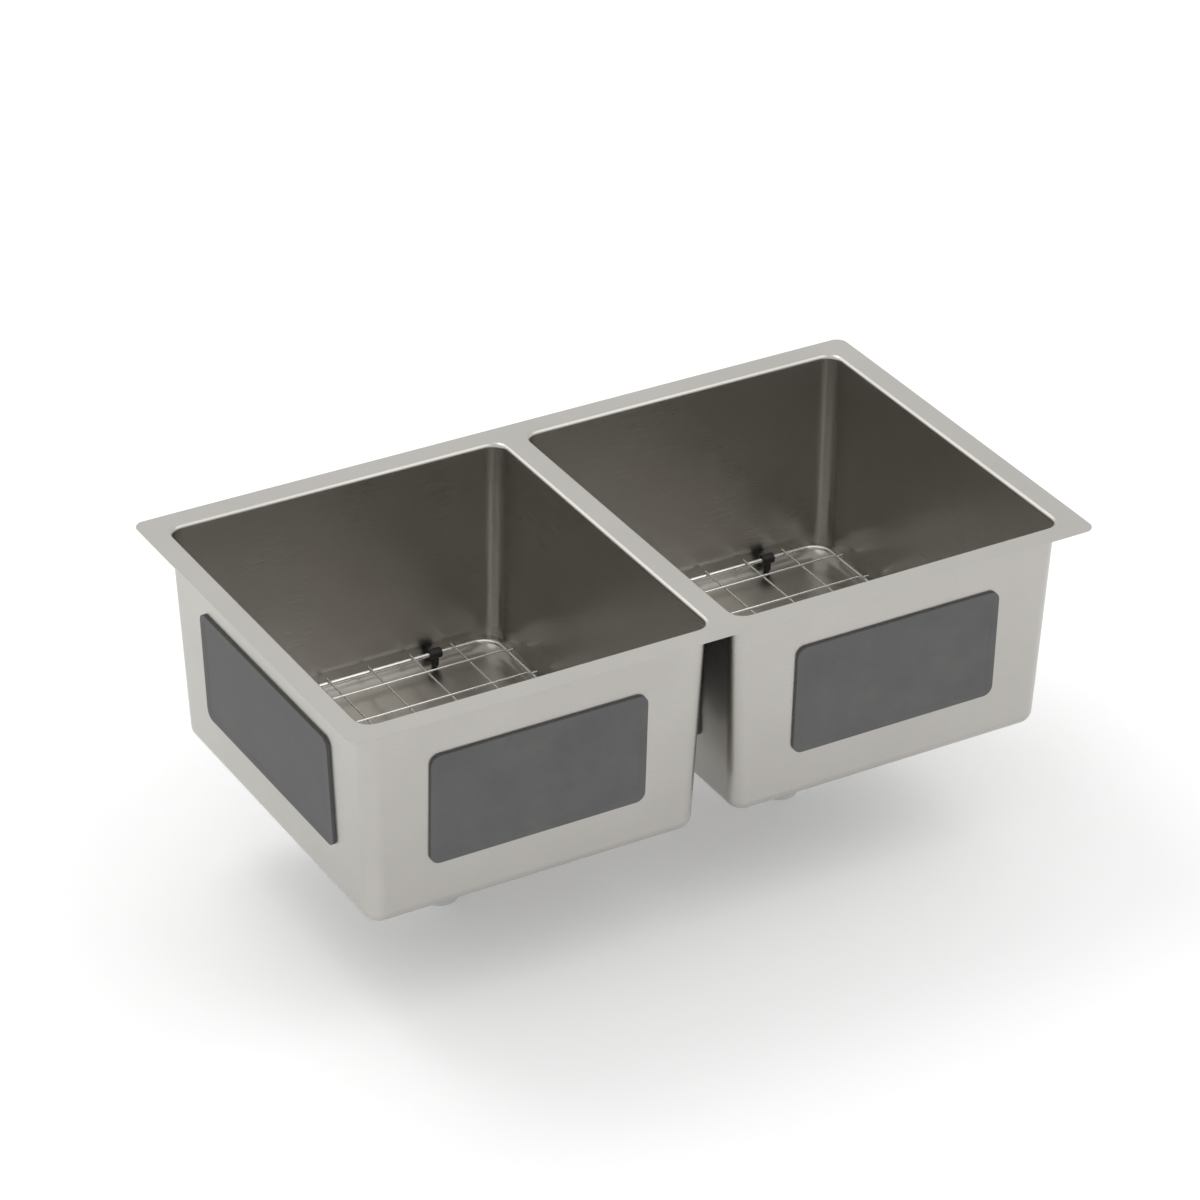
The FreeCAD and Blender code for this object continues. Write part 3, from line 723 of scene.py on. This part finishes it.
def hex_nut(name, flats, bottom, height, bevel, *bores):
    """A hexagonal nut with bevelled corners and turned bores."""
    corner, top = flats / 2 / math.cos(math.pi / 6), bottom + height
    blank = turned("nut_blank", [(corner - bevel, bottom), (corner, bottom + bevel), (corner, top - bevel),
                                 (corner - bevel, top)], 0, closed=False)
    cutters = [turned("nut_bore", bore, 0, closed=False) for bore in bores]
    nut = begin(name, bpy.ops.mesh.primitive_cylinder_add, vertices=6, radius=corner, depth=height)
    bpy.ops.transform.rotate(value=math.radians(30), orient_axis="Z", center_override=(0, 0, 0))
    move(z=bottom + height / 2)
    combined(nut, blank, "INTERSECT")
    for cutter in cutters:
        combined(nut, cutter, "DIFFERENCE")
    soften(nut, NUT_EDGE * flats, from_degrees=25)
    smooth(nut, sharp_degrees=20)
    return nut


chrome = chrome_plate()
flange_bottom = TAIL_TOP - TAIL_FLANGE
tail = turned("drain_tail", [
    (TAIL_RADIUS - TAIL_WALL, TAIL_TOP, 0.8 * MM), (TAIL_FLANGE_RADIUS, TAIL_TOP, 0.5 * MM),
    (TAIL_FLANGE_RADIUS, flange_bottom, 0.5 * MM), (TAIL_RADIUS, flange_bottom, TAIL_BEND),
    (TAIL_RADIUS, TAIL_END, 0.3 * MM), (TAIL_RADIUS - TAIL_WALL, TAIL_END, 0.3 * MM)])
smooth(tail)
pair(tail, "tailpiece", "sink", chrome)

nut_top = NUT_BOTTOM + NUT_HEIGHT
nut = hex_nut("tail_nut", NUT_FLATS, NUT_BOTTOM, NUT_HEIGHT, NUT_BEVEL,
              [(NUT_THREAD, NUT_BOTTOM + NUT_LIP), (NUT_THREAD, nut_top - 1 * MM),
               (NUT_THREAD + 1.5 * MM, nut_top + 0.5 * MM)],
              [(NUT_HOLE + 0.6 * MM, NUT_BOTTOM - 0.2 * MM), (NUT_HOLE, NUT_BOTTOM + 0.4 * MM),
               (NUT_HOLE, NUT_BOTTOM + 2 * NUT_LIP)])
pair(nut, "slip_nut", "sink", chrome)


# ------------------------------------------------------------------ baskets and stoppers
# A perforated cup of polished stainless steel hangs in each strainer by its rim and lifts out. Through its
# floor slides the stopper: a stem with a knob and a plate, and a rubber disc that a small nut clamps to it.

SEAT_GAP = 0.25 * MM
BASKET_WALL = 0.9 * MM
BASKET_RIM_RADIUS = RIM_STEP_RADIUS - 0.6 * MM
BASKET_TOP_RADIUS = 38 * MM
BASKET_FLOOR_RADIUS = 33 * MM
BASKET_RIM = RIM_STEP + SEAT_GAP
BASKET_DEPTH = 27 * MM
BASKET_FLOOR = BASKET_RIM - BASKET_DEPTH
BASKET_HOLE = 2 * MM
FLOOR_HOLES = ((13.5 * MM, 8), (24 * MM, 16))       # radius and count of each ring
WALL_HOLES = 16
WALL_ROWS = 2
WALL_PUNCHES = 0.93 * BASKET_TOP_RADIUS             # drain's axis to the middle of each punch
POST_RADIUS = 2.5 * MM
POST_HOLE = POST_RADIUS + 0.35 * MM
POST_END = CROSS_TOP - bar_height - 6 * MM
SEAL_BOTTOM = CUP_FLOOR + SEAT_GAP
SEAL = (23 * MM, 4 * MM)            # radius and thickness
SEAL_BEVEL = 1.2 * MM
PLATE = (14 * MM, 1.5 * MM)         # radius and thickness
KNOB_NECK = (5 * MM, 10 * MM)       # radius and height
KNOB = (9 * MM, 8 * MM)             # radius and height
STEM_NUT = (10 * MM, 3 * MM)        # size across its flats, and height


def basket_punches():
    """The shapes that punch a basket's holes, in its floor and its wall."""
    punches = begin("punches", bpy.ops.mesh.primitive_cylinder_add, vertices=6, radius=NEAR, depth=NEAR)
    bpy.ops.mesh.delete(type="VERT")
    for radius, count in FLOOR_HOLES:
        for i in range(count):
            turn = 2 * math.pi * (i + 0.5) / count
            bpy.ops.mesh.primitive_cylinder_add(
                vertices=20, radius=BASKET_HOLE, depth=4 * BASKET_WALL,
                location=(radius * math.cos(turn), radius * math.sin(turn), BASKET_FLOOR))
    for row in range(WALL_ROWS):
        for i in range(WALL_HOLES):
            turn = 2 * math.pi * (i + row / 2) / WALL_HOLES
            bpy.ops.mesh.primitive_cylinder_add(
                vertices=20, radius=BASKET_HOLE, depth=12 * BASKET_WALL, rotation=(0, math.pi / 2, turn),
                location=(WALL_PUNCHES * math.cos(turn), WALL_PUNCHES * math.sin(turn),
                          BASKET_FLOOR + BASKET_DEPTH * (row + 1) / (WALL_ROWS + 1)))
    return punches


punches = basket_punches()
basket = turned("drain_basket", [
    (POST_HOLE, BASKET_FLOOR), (BASKET_FLOOR_RADIUS, BASKET_FLOOR, 2.1 * MM), (BASKET_TOP_RADIUS, BASKET_RIM),
    (BASKET_RIM_RADIUS, BASKET_RIM), (BASKET_RIM_RADIUS, BASKET_RIM + BASKET_WALL),
    (BASKET_TOP_RADIUS - BASKET_WALL, BASKET_RIM + BASKET_WALL, 0.8 * MM),
    (BASKET_FLOOR_RADIUS - BASKET_WALL, BASKET_FLOOR + BASKET_WALL, 1.4 * MM),
    (POST_HOLE, BASKET_FLOOR + BASKET_WALL)])
combined(basket, punches, "DIFFERENCE")
smooth(basket, sharp_degrees=30)
pair(basket, "basket", "basket", polished)

plate_bottom = SEAL_BOTTOM + SEAL[1]
plate_top = plate_bottom + PLATE[1]
neck_bottom = BASKET_FLOOR + BASKET_WALL + SEAT_GAP
knob_bottom = neck_bottom + KNOB_NECK[1]
knob_top = knob_bottom + KNOB[1]
post = turned("stopper_stem", [
    (POST_RADIUS - 0.8 * MM, POST_END), (POST_RADIUS, POST_END + 0.8 * MM), (POST_RADIUS, plate_bottom, 0),
    (PLATE[0], plate_bottom), (PLATE[0], plate_top), (POST_RADIUS, plate_top), (POST_RADIUS, neck_bottom, 0),
    (KNOB_NECK[0], neck_bottom), (KNOB_NECK[0], knob_bottom, 1.5 * MM), (KNOB[0], knob_bottom, 1 * MM),
    (KNOB[0] - 0.5 * MM, (knob_bottom + knob_top) / 2, 2 * MM), (KNOB[0], knob_top, 2 * MM),
    (KNOB[0] * 0.55, knob_top), (KNOB[0] * 0.4, knob_top - 0.5 * MM)], closed=False)
smooth(post, sharp_degrees=35)
pair(post, "stopper_post", "stopper", polished)

hole = POST_RADIUS + 0.05 * MM
seal_radius, seal_top = SEAL[0], SEAL_BOTTOM + SEAL[1]
seal = turned("stopper_disc", [
    (hole, SEAL_BOTTOM), (seal_radius - SEAL_BEVEL, SEAL_BOTTOM, 0.5 * MM),
    (seal_radius, SEAL_BOTTOM + SEAL_BEVEL, 0.5 * MM), (seal_radius, seal_top - SEAL_BEVEL, 0.5 * MM),
    (seal_radius - SEAL_BEVEL, seal_top, 0.5 * MM), (hole, seal_top)])
smooth(seal)
pair(seal, "stopper_seal", "stopper", black_rubber)

stem_nut = hex_nut("stem_nut", STEM_NUT[0], SEAL_BOTTOM - STEM_NUT[1], STEM_NUT[1], 0.5 * MM,
                   [(hole, SEAL_BOTTOM - 2 * STEM_NUT[1]), (hole, SEAL_BOTTOM + STEM_NUT[1])])
pair(stem_nut, "stopper_nut", "stopper", polished)


# ------------------------------------------------------------------ bottom racks
# Each rack is welded from electropolished stainless steel wire: a heavy frame and a heavy ring over the
# drain, thin wires from front to back, and thin wires from left to right over them, stepped down at the ends.

HEAVY_WIRE = 4.6 * MM
THIN_WIRE = 2.2 * MM
WELD_SINK = 0.2 * MM
RACK_HALF = (163 * MM, 187.5 * MM)
RACK_CORNER = 22 * MM
RING_RADIUS = 55 * MM
CROSS_PLACES = [(i - 2.5) * 47 * MM for i in range(6)]
LONG_PLACES = [(i - 3) * 50.5 * MM for i in range(7)]
OVERHANG = 4.5 * MM                 # wire ends past the frame's middle line
RING_OVERHANG = 1 * MM              # wire ends past the ring's middle line
JOGGLE = (6.5 * MM, 6 * MM, 8 * MM)     # straight end, length of the step, and radius of its bends
FRAME_LEVEL = -BOWL_DEPTH + 16.5 * MM
CROSS_LEVEL = FRAME_LEVEL + (HEAVY_WIRE + THIN_WIRE) / 2 - WELD_SINK
LONG_LEVEL = CROSS_LEVEL + THIN_WIRE - WELD_SINK


def rack_wire():
    """Electropolished wire: bright, with faint lengthwise draw marks."""
    material, tree, shader = new_material("rack wire", 1.0)
    marks = noise(tree, 170, 4, roughness=0.6)
    link(tree, blended(tree, ranged(tree, marks, 0, 1), (0.78, 0.77, 0.75), (0.7, 0.69, 0.67)),
         shader.inputs["Base Color"], ranged(tree, marks, 0.24, 0.32), shader.inputs["Roughness"],
         bumped(tree, marks, 0.1, 0.02 * MM), shader.inputs["Normal"])
    return material


def empty_piece(name):
    """Starts a piece with nothing in it yet."""
    piece = begin(name, bpy.ops.mesh.primitive_plane_add, size=NEAR)
    bpy.ops.mesh.delete(type="VERT")
    return piece


def draw_wire(points, diameter, bend=0.0, sides=16, steps=12):
    """Draws a wire along straight runs into the open piece, with a bend of this radius at each corner."""
    place = points[0]
    heading = (points[1] - place).to_track_quat("Z", "Y").to_euler()
    bpy.ops.mesh.primitive_circle_add(vertices=sides, radius=diameter / 2, location=place, rotation=heading)
    for before, corner, after in zip(points, points[1:], points[2:]):
        towards, onwards = (corner - before).normalized(), (after - corner).normalized()
        turn = towards.angle(onwards)
        leave = corner - towards * bend * math.tan(turn / 2)
        if (leave - place).length > NEAR:
            extrude(*(leave - place))
        inwards = (onwards - towards * towards.dot(onwards)).normalized()
        bpy.ops.mesh.spin(steps=steps, angle=turn, center=leave + inwards * bend, axis=onwards.cross(towards))
        place = corner + onwards * bend * math.tan(turn / 2)
    if (points[-1] - place).length > NEAR:
        extrude(*(points[-1] - place))


def finish_wires(piece):
    """Joins or closes the wires' ends and turns their faces outwards."""
    merge()
    bpy.ops.mesh.fill_holes(sides=0)
    turn_faces()
    soften(piece, 0.3 * MM, from_degrees=60)
    smooth(piece, sharp_degrees=50)


def draw_ring(half_length, half_width, bend, steps):
    """Draws a closed ring of heavy wire with four bends into the open piece."""
    corners = [(0, -1), (1, -1), (1, 1), (-1, 1), (-1, -1), (0, -1)]
    draw_wire([Vector((x * half_length, y * half_width, FRAME_LEVEL)) for x, y in corners],
              HEAVY_WIRE, bend, 24, steps)


wire_finish = rack_wire()
frame_wire = empty_piece("rack_border")
draw_ring(*RACK_HALF, RACK_CORNER, 12)
finish_wires(frame_wire)
pair(frame_wire, "rack_frame", "rack", wire_finish)

ring_wire = empty_piece("rack_ring")
draw_ring(RING_RADIUS, RING_RADIUS, RING_RADIUS, 20)
finish_wires(ring_wire)
pair(ring_wire, "rack_drain_ring", "rack", wire_finish)

cross_wires = empty_piece("rack_front_to_back")
cross_end = RACK_HALF[1] + OVERHANG
for x in CROSS_PLACES:
    spans = [(-cross_end, cross_end)]
    if abs(x) < RING_RADIUS / 2:
        at_ring = math.sqrt(RING_RADIUS ** 2 - x ** 2) - RING_OVERHANG
        spans = [(-cross_end, -at_ring), (at_ring, cross_end)]
    for first, last in spans:
        draw_wire([Vector((x, first, CROSS_LEVEL)), Vector((x, last, CROSS_LEVEL))], THIN_WIRE)
finish_wires(cross_wires)
pair(cross_wires, "rack_cross_wires", "rack", wire_finish)

long_wires = empty_piece("rack_side_to_side")
long_end, at_ring = RACK_HALF[0] + OVERHANG, RING_RADIUS - RING_OVERHANG
leave, arrive = JOGGLE[0], JOGGLE[0] + JOGGLE[1]
for y in LONG_PLACES:
    spans = [(-long_end, long_end)]
    if abs(y) < NEAR:
        spans = [(-long_end, -at_ring), (at_ring, long_end)]
    for first, last in spans:
        draw_wire([Vector((x, y, z)) for x, z in (
            (first, CROSS_LEVEL), (first + leave, CROSS_LEVEL), (first + arrive, LONG_LEVEL),
            (last - arrive, LONG_LEVEL), (last - leave, CROSS_LEVEL), (last, CROSS_LEVEL))],
            THIN_WIRE, JOGGLE[2], steps=3)
finish_wires(long_wires)
pair(long_wires, "rack_long_wires", "rack", wire_finish)


# ------------------------------------------------------------------ rubber feet
# Eight black rubber feet are moulded round each rack's frame, two to a side. A sleeve with rounded ends grips
# the wire, and a stub with a domed tip keeps the rack off the floor.

SLEEVE = (5.5 * MM, 13.5 * MM)      # radius and length
SLEEVE_ROUNDING = 1.2 * MM
SLEEVE_BORE = HEAVY_WIRE / 2 + 0.1 * MM
STUB_RADIUS = 4 * MM
STUB_TIP = 12 * MM                  # wire's middle to the middle of the dome
FOOT_PLACES = [(97 * MM, 187.5 * MM, 0), (163 * MM, 75.75 * MM, 90)]
VOXEL = 0.42 * MM
FOOT_SMOOTHING = 5                  # passes that round the voxels off

radius, length = SLEEVE
bore = turned("foot_bore", [(SLEEVE_BORE, -length), (SLEEVE_BORE, length)], 0, closed=False, sides=40)
bpy.ops.transform.rotate(value=math.pi / 2, orient_axis="Y", center_override=(0, 0, 0))
feet = turned("rack_foot", [(radius / 4, -length / 2), (radius, -length / 2, SLEEVE_ROUNDING),
                            (radius, length / 2, SLEEVE_ROUNDING), (radius / 4, length / 2)], closed=False)
bpy.ops.transform.rotate(value=math.pi / 2, orient_axis="Y", center_override=(0, 0, 0))
bpy.ops.mesh.primitive_cylinder_add(vertices=48, radius=STUB_RADIUS, depth=STUB_TIP,
                                    location=(0, 0, -STUB_TIP / 2))
bpy.ops.mesh.primitive_uv_sphere_add(segments=48, ring_count=24, radius=STUB_RADIUS,
                                     location=(0, 0, -STUB_TIP))
apply_modifier(feet, "REMESH", mode="VOXEL", voxel_size=VOXEL)
apply_modifier(feet, "SMOOTH", factor=0.5, iterations=FOOT_SMOOTHING)
combined(feet, bore, "DIFFERENCE")
bpy.ops.object.mode_set(mode="EDIT")
made = len(feet.data.vertices)
for x, y, turn in FOOT_PLACES:
    for sx, sy in ((1, 1), (-1, 1), (-1, -1), (1, -1)):
        pick("VERT", lambda v: v.index < made)
        bpy.ops.mesh.duplicate()
        bpy.ops.transform.rotate(value=math.radians(turn), orient_axis="Z", center_override=(0, 0, 0))
        move(sx * x, sy * y, FRAME_LEVEL)
pick("VERT", lambda v: v.index < made)
bpy.ops.mesh.delete(type="VERT")
smooth(feet, sharp_degrees=50)
pair(feet, "rack_feet", "rack", black_rubber)


# ------------------------------------------------------------------ floor, light and camera
# The sink stands by its tailpieces on a plain white floor, in soft light from three large panels and from all
# round. The camera looks from the front left and above, as in the photograph.

FLOOR_SIZE = 30
FLOOR_COLOUR = (0.9, 0.9, 0.9)
FLOOR_LIFT = 0.16                   # added where the floor is seen, so that only shadows show on it
ROOM_LIGHT = 0.8
CAMERA_PLACE = (-1.9895, -3.4356, 2.2385)
CAMERA_TURN = math.radians(29.88)
CAMERA_FALL = math.radians(30.318)
CAMERA_ROLL = math.radians(0.313)
CAMERA_LENS = 140.87                # millimetres, for the sensor's width below
CAMERA_SENSOR = 36
PANELS = {                          # place, length and width in metres, and power in watts
    "top_panel": ((-0.8, 1.4, 2.8), 2.0, 1.2, 22),
    "front_panel": ((1.3, -1.5, 2.25), 2.4, 2.4, 16),
    "back_panel": ((-1.2, 2.25, 1.5), 2.0, 1.4, 8)}
PANELS_FACE = Vector((0, 0, -0.1))


def seen_or_mirrored(tree):
    """1 where the ray comes from the camera, a reflection or a transmission."""
    path = tree.nodes.new("ShaderNodeLightPath")
    either = tree.nodes.new("ShaderNodeMath")
    either.operation = "MAXIMUM"
    both = tree.nodes.new("ShaderNodeMath")
    both.operation = "MAXIMUM"
    link(tree, path.outputs["Is Camera Ray"], either.inputs[0], path.outputs["Is Glossy Ray"], either.inputs[1],
         either.outputs[0], both.inputs[0], path.outputs["Is Transmission Ray"], both.inputs[1])
    return both.outputs[0]


floor = begin("studio_floor", bpy.ops.mesh.primitive_plane_add, size=FLOOR_SIZE)
move(z=TAIL_END)
bpy.ops.object.mode_set(mode="OBJECT")
floor_finish, tree, shader = new_material("white floor", 0.0)
shader.inputs["Base Color"].default_value = (*FLOOR_COLOUR, 1)
shader.inputs["Roughness"].default_value = 0.9
shader.inputs["Specular IOR Level"].default_value = 0.0
shader.inputs["Emission Color"].default_value = (1, 1, 1, 1)
link(tree, ranged(tree, seen_or_mirrored(tree), 0, FLOOR_LIFT, 0, 1), shader.inputs["Emission Strength"])
floor.data.materials.append(floor_finish)

world = bpy.data.worlds.new("room")
world.use_nodes = True
background = world.node_tree.nodes["Background"]
background.inputs["Color"].default_value = (1, 1, 1, 1)
link(world.node_tree, ranged(world.node_tree, seen_or_mirrored(world.node_tree), ROOM_LIGHT, 1, 0, 1),
     background.inputs["Strength"])
bpy.context.scene.world = world

for name, (place, length, width, power) in PANELS.items():
    panel = bpy.data.lights.new(name, "AREA")
    panel.shape = "RECTANGLE"
    panel.size, panel.size_y, panel.energy = length, width, power
    lamp = bpy.data.objects.new(name, panel)
    lamp.location = place
    lamp.rotation_euler = (PANELS_FACE - lamp.location).to_track_quat("-Z", "Y").to_euler()
    bpy.context.scene.collection.objects.link(lamp)

looking = Vector((math.sin(CAMERA_TURN) * math.cos(CAMERA_FALL), math.cos(CAMERA_TURN) * math.cos(CAMERA_FALL),
                  -math.sin(CAMERA_FALL)))
camera = bpy.data.objects.new("camera", bpy.data.cameras.new("camera"))
camera.data.lens = CAMERA_LENS
camera.data.sensor_width = CAMERA_SENSOR
turned_to = looking.to_track_quat("-Z", "Y").to_matrix() @ Matrix.Rotation(CAMERA_ROLL, 3, "Z")
camera.matrix_world = Matrix.Translation(CAMERA_PLACE) @ turned_to.to_4x4()
bpy.context.scene.collection.objects.link(camera)
bpy.context.scene.camera = camera
bpy.context.scene.view_settings.view_transform = "Standard"
